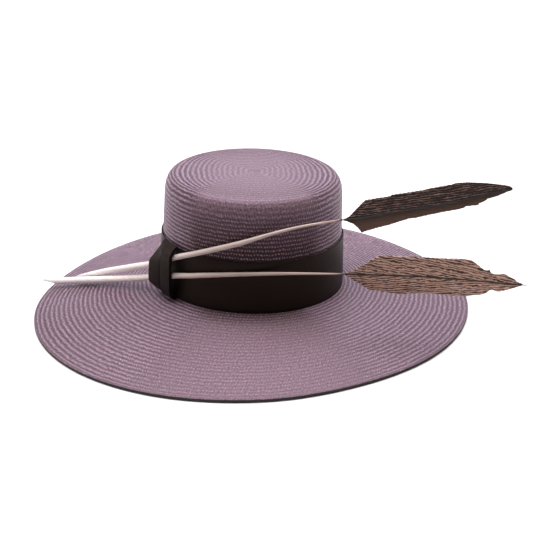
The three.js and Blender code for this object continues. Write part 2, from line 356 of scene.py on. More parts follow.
# Crown: the drum's wall, a rounded shoulder and a slightly domed tip, with an inner face
print("crown")
crownWeave = {
    "stitch": 0.0027,  # length of one stitch along a row
    "crossFrom": 0.4,  # how near its sides the rows begin to break up, from 0 at its ends to 1
    "foot": 0.0003,
    "height": 0.128,
    "wall": 0.0016,
    "shoulderHeight": 0.02,
    "shoulderDepth": 0.0105,
    "tipRise": 0.002,
    "wallRows": 23,
    "shoulderRows": 5,
    "tipRows": 15,
    "hiddenRows": 11,  # behind the leather band
    "cuts": 4,  # across each row, to round it
    "squareness": 0.9,  # how square the rows are at the middle of the tip, where weaving begins
    "tipShow": 0.3,  # how plainly the rows show there, where they are fine and lie flat
    "tipShowFrom": 0.3,  # as shares of the tip's reach
    "tipShowOver": 0.65,
    "tipShowEase": 1.5,
    "nearFade": 0.75,  # how much less they show at the near edge of the tip
    "nearFadeDrop": 0.15,
    "nearFadeOver": 0.15,
    # and how much less up the near wall, which also paints the upper near wall lighter and leaves
    # its lower part darker, as painted light: (from this height, over this much, by this share)
    "wallFades": ((0.07, 0.04, 0.45), (0.105, 0.018, 0.3)),
    "tipPaintedLight": 0.42,  # painted light: how light the straw's colour is painted, from 0 to 1
    "wallPaintedLight": 0.6,
    "fadePaintedLight": 0.5,
}


def crownRings(inward):
    values = crownWeave
    shoulderStart = values["height"] - values["shoulderHeight"]
    shoulderOut = -seat["lean"] * shoulderStart - values["shoulderDepth"]
    rings = []
    for row in range(values["wallRows"]):
        height = values["foot"] + (shoulderStart - values["foot"]) * row / values["wallRows"]
        out = -seat["lean"] * height - inward
        rings.append((seat["halfLength"] + out, seat["halfWidth"] + out, height))
    for row in range(values["shoulderRows"] + 1):
        turn = math.pi / 2 * row / values["shoulderRows"]
        out = shoulderOut + (values["shoulderDepth"] - inward) * math.cos(turn)
        height = shoulderStart + (values["shoulderHeight"] - inward) * math.sin(turn)
        rings.append((seat["halfLength"] + out, seat["halfWidth"] + out, height))
    for row in range(1, values["tipRows"]):
        share = 1 - row / values["tipRows"]
        rise = values["tipRise"] * (1 - share * share)
        tip = (seat["halfLength"] + shoulderOut, seat["halfWidth"] + shoulderOut)
        rings.append((tip[0] * share, tip[1] * share, values["height"] - inward + rise))
    return rings


outerRings = crownRings(0.0)
innerRings = crownRings(crownWeave["wall"])
crownRows = list(range(len(outerRings)))
shellRings = innerRings[::-1] + outerRings
crown = pullRings("crown", shellRings, weave["segments"])
markRings(
    crown,
    shellRings,
    crownRows[::-1] + crownRows,
    [weave["innerRelief"]] * len(innerRings) + [weave["outerRelief"]] * len(outerRings),
    crownWeave["crossFrom"],
)
startEdit(crown)
for number in (0, len(shellRings) - 1):  # closes the middle of the tip, inside and outside
    selectRing(crown, number)
    bpy.ops.mesh.extrude_region_move()
    bpy.ops.mesh.merge(type="CENTER")
bpy.ops.object.mode_set(mode="OBJECT")
firstOuter = len(innerRings)
lastOuter = len(shellRings) - 1
firstShown = firstOuter + crownWeave["hiddenRows"]
cutRows(crown, weave["innerCuts"], lambda low: low < firstOuter - 1)
cutRows(crown, crownWeave["cuts"], lambda low: firstShown <= low < lastOuter)
tightenShell(crown)


# The rows of the tip start as a square with round corners and end as the oval of the shoulder
def squareTip(piece):
    values = crownWeave
    points, turn = readPoints(piece.data), readAttribute(piece.data, "turn") * 2 * math.pi
    inset = seat["lean"] * (values["height"] - values["shoulderHeight"]) + values["shoulderDepth"]
    reach = np.hypot(
        points[:, 0] / (seat["halfLength"] - inset), points[:, 1] / (seat["halfWidth"] - inset)
    )
    square = (np.abs(np.cos(turn)) ** 5 + np.abs(np.sin(turn)) ** 5) ** -0.2 - 1
    onTip = (points[:, 2] > values["height"] - 1.5 * values["wall"]) & (reach < 0.999)
    grow = np.where(onTip, 1 + values["squareness"] * (1 - reach**2) * square, 1.0)
    points[:, :2] *= grow[:, None]
    writePoints(piece.data, points)
    show = np.clip((reach - values["tipShowFrom"]) / values["tipShowOver"], 0, 1)
    show = values["tipShow"] + (1 - values["tipShow"]) * show ** values["tipShowEase"]
    inside = np.clip((1 - reach) / values["nearFadeOver"], 0, 1)
    cross = readAttribute(piece.data, "cross")
    tipFade = cross * (values["nearFade"] - values["nearFadeDrop"] * inside)
    wallFade = cross * sum(
        share * np.clip((points[:, 2] - height) / over, 0, 1)
        for height, over, share in values["wallFades"]
    )
    writeAttribute(piece.data, "clear", np.where(onTip, show * (1 - tipFade), 1 - wallFade))
    # Painted light: the near wall is painted lighter where its rows fade, higher up
    wallPaintedLight = values["wallPaintedLight"] + values["fadePaintedLight"] * wallFade
    writeAttribute(piece.data, "paintedLight", np.where(onTip, values["tipPaintedLight"], wallPaintedLight))


squareTip(crown)
mapWeave(crown, readPoints(crown.data), crownWeave["stitch"])
pressRows(crown)
writePoints(crown.data, onSeat(readPoints(crown.data)))


# Brim: a straight slope from the crown's foot to a turned hem, which lies level
print("brim")
brimWeave = {
    "stitch": 0.0031,
    "crossFrom": 0.58,
    "width": 0.142,
    "wall": 0.0018,
    "hemWidth": 0.006,
    "hemThickness": 0.0044,
    "hemRound": 0.0014,
    "hemSteps": 4,
    "inner": -0.0016,  # the brim's inner edge, under the crown's foot
    "rows": 27,
    "cuts": 5,
    "spread": 1.08,  # rows are a little closer near the crown
    "show": 0.75,  # how plainly rows show at the crown, and how much less they do further out
    "fade": 0.1,
    "fadeOver": 0.025,
    "nearFade": 0.35,
    "farFade": -0.3,
    "endPaintedLight": 0.3,  # painted light: how light the straw is painted at the front and back, from 0 to 1
    "shadowSheetFrom": 0.22,  # the dark sheet of painted shadow starts this share of the hem's thickness down
    "shadowSheetInset": 0.001,
    "farRimLift": 0.009,
    "liftStart": 0.25,
    "liftSkew": 0.15,
    # how far the hand-shaped rim stands out of the oval each 30 degrees from the back, in mm
    "bulges": (0.5, -2.5, -1.0, 0.0, 0.5, -1.0, 3.2, 3.4, 3.3, 2.4, -0.6, 1.2),
}
hemStart = brimWeave["width"] - brimWeave["hemWidth"]


def brimLine():  # (outward, height, row, relief) from the inner edge below to the inner edge above
    values = brimWeave
    rowShares = [k / values["rows"] for k in range(values["rows"] + 1)]
    rowOut = [hemStart * share ** values["spread"] for share in rowShares]
    rim, thick, edge = values["width"], values["hemThickness"], values["hemRound"]
    hemRow = values["rows"] + 1.5
    under = [(values["inner"], -values["wall"], 0.0, 0.0)]
    under += [(out, -values["wall"], k, weave["innerRelief"]) for k, out in enumerate(rowOut[:-1])]
    under += [(hemStart - values["wall"], -values["wall"], values["rows"] - 0.4, 0.0)]
    hem = [(hemStart, -thick, values["rows"], 0.0)]
    for step in range(values["hemSteps"] + 1):  # the rounded lower edge
        turn = math.pi / 2 * step / values["hemSteps"]
        out, down = edge * math.sin(turn), edge * math.cos(turn)
        hem.append((rim - edge + out, -thick + edge - down, hemRow, 0.0))
    for step in range(values["hemSteps"] + 1):  # and the upper one
        turn = math.pi / 2 * step / values["hemSteps"]
        out, up = edge * math.cos(turn), edge * math.sin(turn)
        hem.append((rim - edge + out, -edge + up, hemRow - step * 0.1, 0.0))
    above = [(out, 0.0, k, weave["outerRelief"]) for k, out in reversed(list(enumerate(rowOut)))]
    above += [(values["inner"], 0.0, 0.0, 0.0)]
    return under + hem + above


def rimBulge(turn):
    bulges = np.array(brimWeave["bulges"]) / 1000
    place = (turn % 1.0) * len(bulges)
    before = np.floor(place).astype(int) % len(bulges)
    ease = (1 - np.cos((place - np.floor(place)) * math.pi)) / 2
    return bulges[before] * (1 - ease) + bulges[(before + 1) % len(bulges)] * ease


def onBrim(turn, outward, height):
    angle = turn * 2 * math.pi
    seatX, seatY = ovalPoint(angle, np.minimum(outward, 0.0))
    fromSeat = onSeat(np.column_stack((seatX, seatY, height)))
    hemX, hemY = ovalPoint(angle, np.maximum(outward, hemStart) + rimBulge(turn))
    start = brimWeave["liftStart"] + brimWeave["liftSkew"] * np.cos(angle)
    far = np.maximum(0.0, (np.sin(angle) - start) / (1 - start))
    rim = brimWeave["hemThickness"] + brimWeave["farRimLift"] * far**2 + height
    atHem = np.column_stack((hemX + seat["middle"][0], hemY + seat["middle"][1], rim))
    share = np.clip(outward / hemStart, 0, 1)[:, None]
    return fromSeat * (1 - share) + atHem * share


line = brimLine()
drop = seat["middle"][2] - brimWeave["hemThickness"]
brimRings = []
for out, height, row, relief in line:
    level = seat["middle"][2] - drop * min(max(out / hemStart, 0), 1)
    brimRings.append((seat["halfLength"] + out, seat["halfWidth"] + out, level + height))
brim = pullRings("strawBrim", brimRings, weave["segments"])
rows, reliefs = [entry[2] for entry in line], [entry[3] for entry in line]
markRings(brim, brimRings, rows, reliefs, brimWeave["crossFrom"])
for column, name in ((0, "outward"), (1, "thick")):
    ringValues = np.array([entry[column] for entry in line])
    writeAttribute(brim.data, name, ringValues.repeat(weave["segments"]))
closeRings(brim)
underRows = brimWeave["rows"]
topStart = len(line) - brimWeave["rows"] - 2
cutRows(brim, weave["innerCuts"], lambda low: 1 <= low < underRows)
cutRows(brim, brimWeave["cuts"], lambda low: topStart <= low < len(line) - 2)
tightenShell(brim)
mapWeave(brim, readPoints(brim.data), brimWeave["stitch"])
mesh = brim.data
turn, outward, thick, cross = (
    readAttribute(mesh, name) for name in ("turn", "outward", "thick", "cross")
)
writePoints(mesh, onBrim(turn, outward, thick))
fading = np.clip(outward / brimWeave["fadeOver"], 0, 1)
sideways = np.sin(turn * 2 * math.pi)
nearSide, farSide = np.clip(-3 * sideways, 0, 1), np.clip(3 * sideways, 0, 1)
fade = brimWeave["fade"] + brimWeave["nearFade"] * nearSide * cross + brimWeave["farFade"] * farSide
writeAttribute(mesh, "clear", brimWeave["show"] - fading * fade)
# Painted light: the brim is painted lighter towards the near and far sides than at the front and
# back
paintedLight = brimWeave["endPaintedLight"] + (1 - brimWeave["endPaintedLight"]) * sideways**2
writeAttribute(mesh, "paintedLight", paintedLight)
pressRows(brim)
for piece in (crown, brim):
    piece.data.shade_smooth()
    print(piece.name, len(piece.data.vertices), "points", len(piece.data.polygons), "faces")

# Sisal: dyed leaf fibre, plaited in rows and sized. It is a brownish plum that takes a lilac gloss
# from above. Its colour also carries painted light: lighter or darker by region, painted highlights
# on the crests, and painted shade in the grooves and on the near and far sides. Its rows are
# continuous at the front and back of the hat, wander a little, and break into stitches between
wovenSisal, tree = newMaterial("wovenSisal")
uv = addNode(tree, "UVMap", {"uv_map": "weave"})
drift = addNode(tree, "TexNoise", {0: uv, "Scale": 0.45, "Detail": 2.0, "Roughness": 0.6})
middle = addNode(tree, "Mapping", {0: uv, "Location": (-1.0, -0.4, 0.0)})
wander = addNode(
    tree,
    "VectorMath",
    {"operation": "MULTIPLY_ADD", 0: drift.outputs["Color"], 1: (2.0, 0.8, 0.0), 2: middle},
)
parts = addNode(tree, "SeparateXYZ", {0: wander})
cross = addNode(tree, "Attribute", {"attribute_name": "cross"})
shown = addNode(tree, "Attribute", {"attribute_name": "clear"})
rowTurn = calculate(tree, "MULTIPLY", parts.outputs["Y"], math.pi)
rowWave = calculate(tree, "SINE", rowTurn)
ridge = calculate(tree, "ABSOLUTE", rowWave)
groove = mapRange(tree, ridge, (0.95, 0.15), ease="SMOOTHSTEP")
lean = calculate(tree, "MULTIPLY_ADD", parts.outputs["Y"], 0.5, parts.outputs["X"])
stitchTurn = calculate(tree, "MULTIPLY", lean, math.pi)
stitchWave = calculate(tree, "COSINE", stitchTurn)
stitch = calculate(tree, "ABSOLUTE", stitchWave)
pit = mapRange(tree, stitch, (0.3, 0.9), (0.12, 1.0), "SMOOTHSTEP")
crossShare = mapRange(tree, cross.outputs["Fac"], (0.0, 1.0), (0.45, 1.0))
broken = addNode(tree, "Mix", {"data_type": "FLOAT", 0: crossShare, 2: 1.0, 3: pit})
hole = calculate(tree, "MULTIPLY", groove, broken)
plainHole = calculate(tree, "MULTIPLY", hole, shown.outputs["Fac"])
fibreMap = addNode(tree, "Mapping", {0: uv, "Scale": (0.9, 1.7, 1.0)})
fibres = addNode(tree, "TexNoise", {0: fibreMap, "Scale": 1.5, "Detail": 3.0, "Roughness": 0.7})
fibreTone = mapRange(tree, fibres.outputs["Fac"], (0.32, 0.68), (0.4, 1.6))
# Painted highlight: the crest of each stitch is painted paler, a line along the row, or a dash
# where stitches show
dash = mapRange(tree, stitch, (0.9, 0.45), ease="SMOOTHSTEP")
dashOrLine = addNode(tree, "Mix", {"data_type": "FLOAT", 0: crossShare, 2: 0.45, 3: dash})
crestLine = mapRange(tree, ridge, (0.72, 0.98), ease="SMOOTHSTEP")
crest = calculate(tree, "MULTIPLY", crestLine, dashOrLine)
plainCrest = addNode(
    tree, "Mix", {"data_type": "FLOAT", 0: shown.outputs["Fac"], 2: 0.22, 3: crest}
)
# Painted shade: on the near and far sides the straw between the dashes is painted darker and
# browner
sideShade = calculate(tree, "MULTIPLY", cross.outputs["Fac"], shown.outputs["Fac"])
# Painted light: the straw's colour is painted lighter or darker by region, from the attribute
paintedLight = addNode(tree, "Attribute", {"attribute_name": "paintedLight"})
dyeAndPaintedLight = mixColours(tree, paintedLight.outputs["Fac"], "#46363d", "#765f69")
shadedBody = mixColours(tree, sideShade, dyeAndPaintedLight, "#1c110b")
# the colour of the painted highlight, browner where the sides are painted darker
pale = mixColours(tree, sideShade, "#ae949f", "#8f7063")
crestHighlight = mixColours(tree, plainCrest, shadedBody, pale)
# Painted shade: the grooves between rows and the pits between stitches are painted dark
shadedGrooves = mixColours(tree, plainHole, crestHighlight, "#2a1d1b")
tint = addNode(tree, "HueSaturation", {"Color": shadedGrooves, "Value": fibreTone})
relief = calculate(tree, "MULTIPLY_ADD", plainCrest, 2.0, fibreTone)
height = calculate(tree, "SUBTRACT", relief, plainHole)
bump = addNode(tree, "Bump", {"Strength": 0.5, "Distance": 0.0004, "Height": height})
addSurface(
    tree,
    {
        "Roughness": 0.36,
        "IOR": 1.5,
        "Specular IOR Level": 0.45,
        "Specular Tint": linear("#e0c4f2"),
        "Sheen Weight": 0.2,
        "Sheen Roughness": 0.4,
        "Sheen Tint": linear("#d0b2e6"),
        "Base Color": tint,
        "Normal": bump,
    },
)

# Painted shadow under the hem: a dark sheet of tight ribbed cotton, dull and nearly black, on the
# hem's lower part
hemShadowSheet, tree = newMaterial("hemShadowGrosgrain")
uv = addNode(tree, "UVMap", {"uv_map": "weave"})
ribs = addNode(tree, "TexWave", {"bands_direction": "X", 0: uv, "Scale": 0.8, "Distortion": 0.3})
tint = mixColours(tree, ribs.outputs["Fac"], "#2a2829", "#3f3c3d")
bump = addNode(tree, "Bump", {"Strength": 0.4, "Distance": 0.0003, "Height": ribs.outputs["Fac"]})
addSurface(tree, {"Roughness": 0.85, "Specular IOR Level": 0.3, "Base Color": tint, "Normal": bump})

crown.data.materials.append(wovenSisal)
brim.data.materials.append(wovenSisal)
brim.data.materials.append(hemShadowSheet)
for face in brim.data.polygons:  # the lower part of the hem gets the dark sheet of painted shadow
    corners = list(face.vertices)
    low = thick[corners].mean() < -brimWeave["shadowSheetFrom"] * brimWeave["hemThickness"]
    if low and outward[corners].min() > hemStart - brimWeave["shadowSheetInset"]:
        face.material_index = 1
for piece, nodes in ((crown, ("crown_side", "crown_shoulder", "crown_tip")), (brim, ("brim",))):
    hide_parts(*nodes)
    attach(piece, "root")


# Leather band: a strip with pared, rounded edges round the foot of the crown
print("band")
bandSewing = {
    "foot": 0.0003,
    "height": 0.06,
    "wall": 0.0015,
    "standOff": 0.0003,
    "edgeRound": 0.0006,
    "segments": 240,
    "edgeSteps": 6,
    "faceShares": (0.85, 0.7, 0.5, 0.3, 0.15),  # rings between its edges, as shares of its height
    "wave": 0.00008,  # it isn't pulled quite flat
    "waveCounts": (5, 9),  # round the band
    "waveTurn": 0.6,
    "waveClimb": 60.0,
}


def bandRings():
    values = bandSewing
    foot, top = values["foot"], values["foot"] + values["height"]
    edge = values["edgeRound"]
    inner, outer = values["standOff"], values["standOff"] + values["wall"]
    middle = (inner + outer) / 2
    line = [(inner, foot + edge), (inner, top - edge)]
    for step in range(values["edgeSteps"] + 1):  # over the upper edge
        turn = math.pi * step / values["edgeSteps"]
        out = middle - (outer - middle) * math.cos(turn)
        line.append((out, top - edge + edge * math.sin(turn)))
    line += [(outer, foot + (top - foot) * share) for share in values["faceShares"]]
    for step in range(values["edgeSteps"] + 1):  # under the lower one
        turn = math.pi * step / values["edgeSteps"]
        out = middle + (outer - middle) * math.cos(turn)
        line.append((out, foot + edge - edge * math.sin(turn)))
    rings = []
    for out, height in line:
        reach = out - seat["lean"] * height
        rings.append((seat["halfLength"] + reach, seat["halfWidth"] + reach, height))
    return rings


band = pullRings("band", bandRings(), bandSewing["segments"])
closeRings(band)
tightenShell(band)
points = readPoints(band.data)
turn = np.arctan2(points[:, 1], points[:, 0])
slow, quick = bandSewing["waveCounts"]
swell = np.sin(slow * turn + bandSewing["waveTurn"])
swell = swell + np.sin(quick * turn + bandSewing["waveClimb"] * points[:, 2])
swell = bandSewing["wave"] * swell
grow = 1 + swell / np.hypot(points[:, 0], points[:, 1])
points[:, :2] *= grow[:, None]
writePoints(band.data, onSeat(points))
band.data.shade_smooth()

# Calf leather: drum-dyed dark brown, smooth and waxed, so it is nearly black and has a broad sheen
smoothCalf, tree = newMaterial("waxedCalf")
where = addNode(tree, "TexCoord").outputs["Object"]
# Pores about 1.2 mm apart, coarser than real
grain = addNode(tree, "TexVoronoi", {"feature": "DISTANCE_TO_EDGE", 0: where, "Scale": 800.0})
grainDepth = mapRange(tree, grain.outputs["Distance"], (0.0, 0.25))
cloud = addNode(tree, "TexNoise", {0: where, "Scale": 26.0, "Detail": 4.0})
tint = mixColours(tree, cloud.outputs["Fac"], "#15120f", "#201a17")
gloss = mapRange(tree, cloud.outputs["Fac"], (0.0, 1.0), (0.42, 0.56))
bump = addNode(tree, "Bump", {"Strength": 0.25, "Distance": 0.0002, "Height": grainDepth})
addSurface(
    tree,
    {
        "IOR": 1.45,
        "Specular IOR Level": 0.22,
        "Specular Tint": linear("#dcb8ae"),
        "Base Color": tint,
        "Roughness": gloss,
        "Normal": bump,
    },
)

# Cut edges of the leather: dyed black and rubbed with wax, a little rougher than the face. The same
# black also paints the shadow of the narrow strap on the wide one
burnishedEdgeAndShadow, tree = newMaterial("burnishedEdgeAndShadow")
where = addNode(tree, "TexCoord").outputs["Object"]
rub = addNode(tree, "TexNoise", {0: where, "Scale": 300.0, "Detail": 2.0})
tint = mixColours(tree, rub.outputs["Fac"], "#050403", "#0d0908")
addSurface(tree, {"Roughness": 0.6, "Specular IOR Level": 0.15, "Base Color": tint})


# Knot: two straps that bow out over the quills. Each row gives the height up the band and how far
# the strap's outer face stands off the straw at its front, middle and rear edge, in millimetres
print("knot")
knotSewing = {
    "startAngle": math.radians(200.3),
    "endAngle": math.radians(217.8),
    "wall": 0.0015,
    "strapStart": 0.577,  # the narrow strap's edges, as shares of the wide one's width
    "strapEnd": 0.99,
    "strapOut": 0.0021,
    "columns": 48,
    "stripSteps": 60,
    "strapShadow": 0.17,  # painted shadow: the wide strap is painted black for this share of its width, up to the narrow one
    "edgeRound": 0.0003,
    "foldRound": 0.0014,  # how far along the strap a fold is rounded
    "foldSteps": 7,
    "slopeStep": 0.0004,
    "rows": (
        (61.9, 3.0, 3.0, 2.9),
        (59.8, 5.6, 8.0, 9.2),
        (53.0, 9.8, 14.2, 13.4),
        (39.0, 21.6, 16.3, 13.5),
        (25.0, 21.9, 15.3, 13.0),
        (14.0, 21.6, 14.9, 12.4),
        (6.0, 14.8, 12.4, 10.8),
        (3.0, 11.0, 8.6, 7.8),
        (1.8, 2.6, 2.6, 2.6),
    ),
}


def layGrid(name, columns, rows):
    bpy.ops.object.select_all(action="DESELECT")
    bpy.ops.mesh.primitive_grid_add(x_subdivisions=columns, y_subdivisions=rows, size=2)
    piece = bpy.context.object
    piece.name = name
    piece.data.name = name
    return piece


# A strip of leather laid over the rows of the knot, between two shares of its width
def layStrap(name, startShare, endShare, outward):
    values = knotSewing
    rows = np.array(values["rows"]) / 1000
    piece = layGrid(name, values["columns"], values["stripSteps"])
    points = readPoints(piece.data)
    share = startShare + (endShare - startShare) * (points[:, 0] + 1) / 2
    lengths = np.hypot(np.diff(rows[:, 0]), np.diff(rows[:, 2]))
    knots = np.concatenate(([0.0], np.cumsum(lengths)))
    along = (1 - points[:, 1]) / 2 * knots[-1]

    def strapLine(at):  # height and stand-off, at each point's own share
        height = np.interp(at, knots, rows[:, 0])
        sides = [np.interp(at, knots, rows[:, column]) for column in (1, 2, 3)]
        nearHalf = sides[0] + (sides[1] - sides[0]) * share * 2
        farHalf = sides[1] + (sides[2] - sides[1]) * (share * 2 - 1)
        return height, np.where(share < 0.5, nearHalf, farHalf)

    height, standOff = np.zeros(len(points)), np.zeros(len(points))
    spread = np.linspace(-values["foldRound"], values["foldRound"], values["foldSteps"])
    for shift in spread:
        h, s = strapLine(np.clip(along + shift, 0, knots[-1]))
        height += h / len(spread)
        standOff += s / len(spread)
    step = values["slopeStep"]
    lowHeight, lowOff = strapLine(np.clip(along - step, 0, knots[-1]))
    highHeight, highOff = strapLine(np.clip(along + step, 0, knots[-1]))
    rise, run = highHeight - lowHeight, highOff - lowOff
    length = np.maximum(np.hypot(rise, run), 1e-9)
    standOff += outward * -rise / length
    height += outward * run / length
    angle = values["startAngle"] + (values["endAngle"] - values["startAngle"]) * share
    seatX, seatY = ovalPoint(angle, standOff - seat["lean"] * height)
    writePoints(piece.data, onSeat(np.column_stack((seatX, seatY, height))))
    writeAttribute(piece.data, "share", share)
    return piece


def thicken(piece, wall, edge):
    tightenShell(piece)
    solid = piece.modifiers.new("Solidify", "SOLIDIFY")
    solid.thickness, solid.offset, solid.use_even_offset = wall, -1.0, True
    solid.material_offset_rim = 1
    bpy.ops.object.modifier_apply(modifier=solid.name)
    bevel = piece.modifiers.new("Bevel", "BEVEL")
    bevel.width, bevel.segments, bevel.limit_method = edge, 3, "ANGLE"
    bevel.angle_limit = math.radians(60)
    bpy.ops.object.modifier_apply(modifier=bevel.name)
    piece.data.shade_smooth()


def facesOut(piece, middle):  # whether an open sheet's normals point away from a middle point
    toward = Vector(middle)
    return sum((f.center - toward).dot(f.normal) * f.area for f in piece.data.polygons) > 0


knotWrap = layStrap("knotWrap", 0.0, 1.0, 0.0)
knotStrap = layStrap(
    "knotStrap", knotSewing["strapStart"], knotSewing["strapEnd"], knotSewing["strapOut"]
)
for piece in (knotWrap, knotStrap):
    if not facesOut(piece, (seat["middle"][0], 0.0, 0.06)):
        piece.data.flip_normals()
    piece.data.materials.append(smoothCalf)
    piece.data.materials.append(burnishedEdgeAndShadow)
    if piece == knotWrap:
        # Painted shadow: a strip of the wide strap beside the narrow one gets the black edge
        # material
        shares = readAttribute(piece.data, "share")
        for face in piece.data.polygons:
            before = knotSewing["strapStart"] - shares[list(face.vertices)].mean()
            if 0 < before < knotSewing["strapShadow"]:
                face.material_index = 1
    thicken(piece, knotSewing["wall"], knotSewing["edgeRound"])
band.data.materials.append(smoothCalf)
for piece, node in ((band, "hat_band"), (knotWrap, "knot_wrap"), (knotStrap, "knot_strap")):
    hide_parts(node)
    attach(piece, "root")
    print(piece.name, len(piece.data.vertices), "points", len(piece.data.polygons), "faces")


# Quills: bare feather shafts, from their cut ends under the knot and round the crown to the
# vanes. Each row is a place on the route and the width there, in the hat's own millimetres
print("quills")
quillRoutes = {
    "lowerQuill": (
        (-244.0, 67.0, 11.5, 1.6),
        (-228.0, 58.0, 14.0, 7.4),
        (-204.0, 45.0, 19.4, 8.4),
        (-167.0, 18.0, 31.1, 8.4),
        (-131.0, -11.0, 44.3, 7.8),
        (-107.4, -34.2, 55.5, 7.4),
        (-94.0, -49.2, 62.6, 7.1),
        (-77.2, -64.0, 69.0, 6.6),
        (-66.0, -72.8, 72.4, 6.3),
        (-50.6, -81.0, 76.0, 6.0),
        (-8.7, -91.2, 80.2, 5.0),
        (38.0, -96.0, 81.4, 3.4),
        (98.6, -101.0, 80.9, 2.0),
    ),
    "upperQuill": (
        (-203.0, 57.0, 18.6, 3.0),
        (-186.6, 45.0, 26.1, 6.4),
        (-167.2, 27.0, 37.0, 7.6),
        (-130.8, -8.0, 56.9, 8.0),
        (-106.5, -34.5, 71.7, 7.4),
        (-93.0, -48.6, 81.7, 6.8),
        (-78.0, -61.4, 90.2, 6.6),
        (-61.5, -73.0, 97.8, 6.4),
        (-40.7, -83.9, 106.4, 6.4),
        (-10.6, -91.1, 116.0, 6.0),
        (21.3, -94.5, 126.5, 4.0),
        (52.9, -97.5, 135.2, 3.0),
        (97.5, -101.0, 143.1, 2.2),
    ),
}
quillShape = {
    "sides": 20,
    "steps": 120,
    "groove": 0.16,  # how deep the shaft's groove is, as a share of its radius
    "grooveWidth": 0.45,  # radians
    "grooveTurn": math.radians(-70),  # nearly underneath
}


# A smooth line through the places of a route, with its radius: metres, in the shared frame
def smoothRoute(route, steps):
    spots = np.array([row[:3] for row in route]) / 1000 + (seat["middle"][0], seat["middle"][1], 0)
    radii = np.array([row[3] for row in route]) / 2000
    ends = np.vstack((2 * spots[0] - spots[1], spots, 2 * spots[-1] - spots[-2]))
    line, widths = [], []
    for step in range(steps + 1):
        at = step / steps * (len(spots) - 1)
        k = min(int(at), len(spots) - 2)
        share = at - k
        a, b, c, d = ends[k : k + 4]
        pairs = ((a, b), (b, c), (c, d))
        first, second, third = (math.sqrt(np.linalg.norm(q - p)) for p, q in pairs)
        leave = ((b - a) / first - (c - a) / (first + second) + (c - b) / second) * second
        arrive = ((c - b) / second - (d - b) / (second + third) + (d - c) / third) * second
        line.append(
            b * (2 * share**3 - 3 * share**2 + 1)
            + leave * (share**3 - 2 * share**2 + share)
            + c * (3 * share**2 - 2 * share**3)
            + arrive * (share**3 - share**2)
        )
        widths.append(radii[k] + (radii[k + 1] - radii[k]) * share)
    return np.array(line), np.array(widths)


# A shaft pulled out straight, closed at both ends, and then bent along its route
def pullShaft(name, route, sides, steps, groove=0.0):
    line, radii = smoothRoute(route, steps)
    rings = [(1.0, 1.0, float(step)) for step in range(steps + 1)]
    piece = pullRings(name, rings, sides)
    startEdit(piece)
    bpy.ops.mesh.select_mode(type="VERT")
    for end in (0, steps):
        bpy.ops.mesh.select_all(action="DESELECT")
        shaft = bmesh.from_edit_mesh(piece.data)
        for vertex in shaft.verts:
            vertex.select_set(abs(vertex.co.z - end) < 0.01)
        shaft.select_flush_mode()
        bmesh.update_edit_mesh(piece.data)
        bpy.ops.mesh.extrude_region_move()
        bpy.ops.mesh.merge(type="CENTER")
    bpy.ops.object.mode_set(mode="OBJECT")
    tightenShell(piece)
    points = readPoints(piece.data)
    at = np.clip(np.round(points[:, 2]).astype(int), 0, steps)
    along = np.gradient(line, axis=0)
    along /= np.linalg.norm(along, axis=1)[:, None]
    sideways = np.cross(along, (0, 0, 1))
    sideways /= np.linalg.norm(sideways, axis=1)[:, None]
    upwards = np.cross(sideways, along)
    turn = np.arctan2(points[:, 1], points[:, 0])
    fromGroove = (turn - quillShape["grooveTurn"] + math.pi) % (2 * math.pi) - math.pi
    narrow = 1 - groove * np.exp(-((fromGroove / quillShape["grooveWidth"]) ** 2))
    reach = radii[at] * narrow
    placed = (
        line[at]
        + sideways[at] * (points[:, 0] * reach)[:, None]
        + upwards[at] * (points[:, 1] * reach)[:, None]
    )
    writePoints(piece.data, placed)
    writeAttribute(piece.data, "along", at / steps)
    piece.data.shade_smooth()
    return piece


quills = [
    pullShaft(name, route, quillShape["sides"], quillShape["steps"], quillShape["groove"])
    for name, route in quillRoutes.items()
]
for piece in quills:
    tightenShell(piece)

# Feather shaft: keratin scraped bare of its barbs, cream and a little glossy where it is hollow,
# and browner and scratched where it thins towards the vane
scrapedQuill, tree = newMaterial("scrapedQuill")
where = addNode(tree, "TexCoord").outputs["Object"]
along = addNode(tree, "Attribute", {"attribute_name": "along"})
hueRamp = addNode(tree, "ValToRGB", {0: along.outputs["Fac"]})
stops = (
    (0.0, "#b4adb9"),
    (0.04, "#dcd6d8"),
    (0.1, "#f3ecea"),
    (0.35, "#e0d4d0"),
    (0.6, "#c0b0a9"),
    (0.85, "#b5a199"),
    (0.95, "#b8a197"),
    (0.985, "#a08479"),
    (1.0, "#3a2823"),
)
ramp = hueRamp.color_ramp
ramp.elements[0].position, ramp.elements[0].color = stops[0][0], linear(stops[0][1])
ramp.elements[1].position, ramp.elements[1].color = stops[-1][0], linear(stops[-1][1])
for position, colour in stops[1:-1]:
    ramp.elements.new(position).color = linear(colour)
streakMap = addNode(tree, "Mapping", {0: where, "Scale": (30.0, 30.0, 400.0)})
streaks = addNode(tree, "TexNoise", {0: streakMap, "Scale": 2.0, "Detail": 3.0})
streakTone = mapRange(tree, streaks.outputs["Fac"], (0.3, 0.7), (0.86, 1.06))
tone = addNode(tree, "HueSaturation", {"Color": hueRamp, "Value": streakTone})
bump = addNode(
    tree, "Bump", {"Strength": 0.3, "Distance": 0.0003, "Height": streaks.outputs["Fac"]}
)
addSurface(
    tree,
    {"Roughness": 0.4, "IOR": 1.54, "Specular IOR Level": 0.5, "Base Color": tone, "Normal": bump},
)
for piece, node in zip(quills, ("lower_quill", "upper_quill")):
    piece.data.materials.append(scrapedQuill)
    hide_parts(node)
    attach(piece, "root")


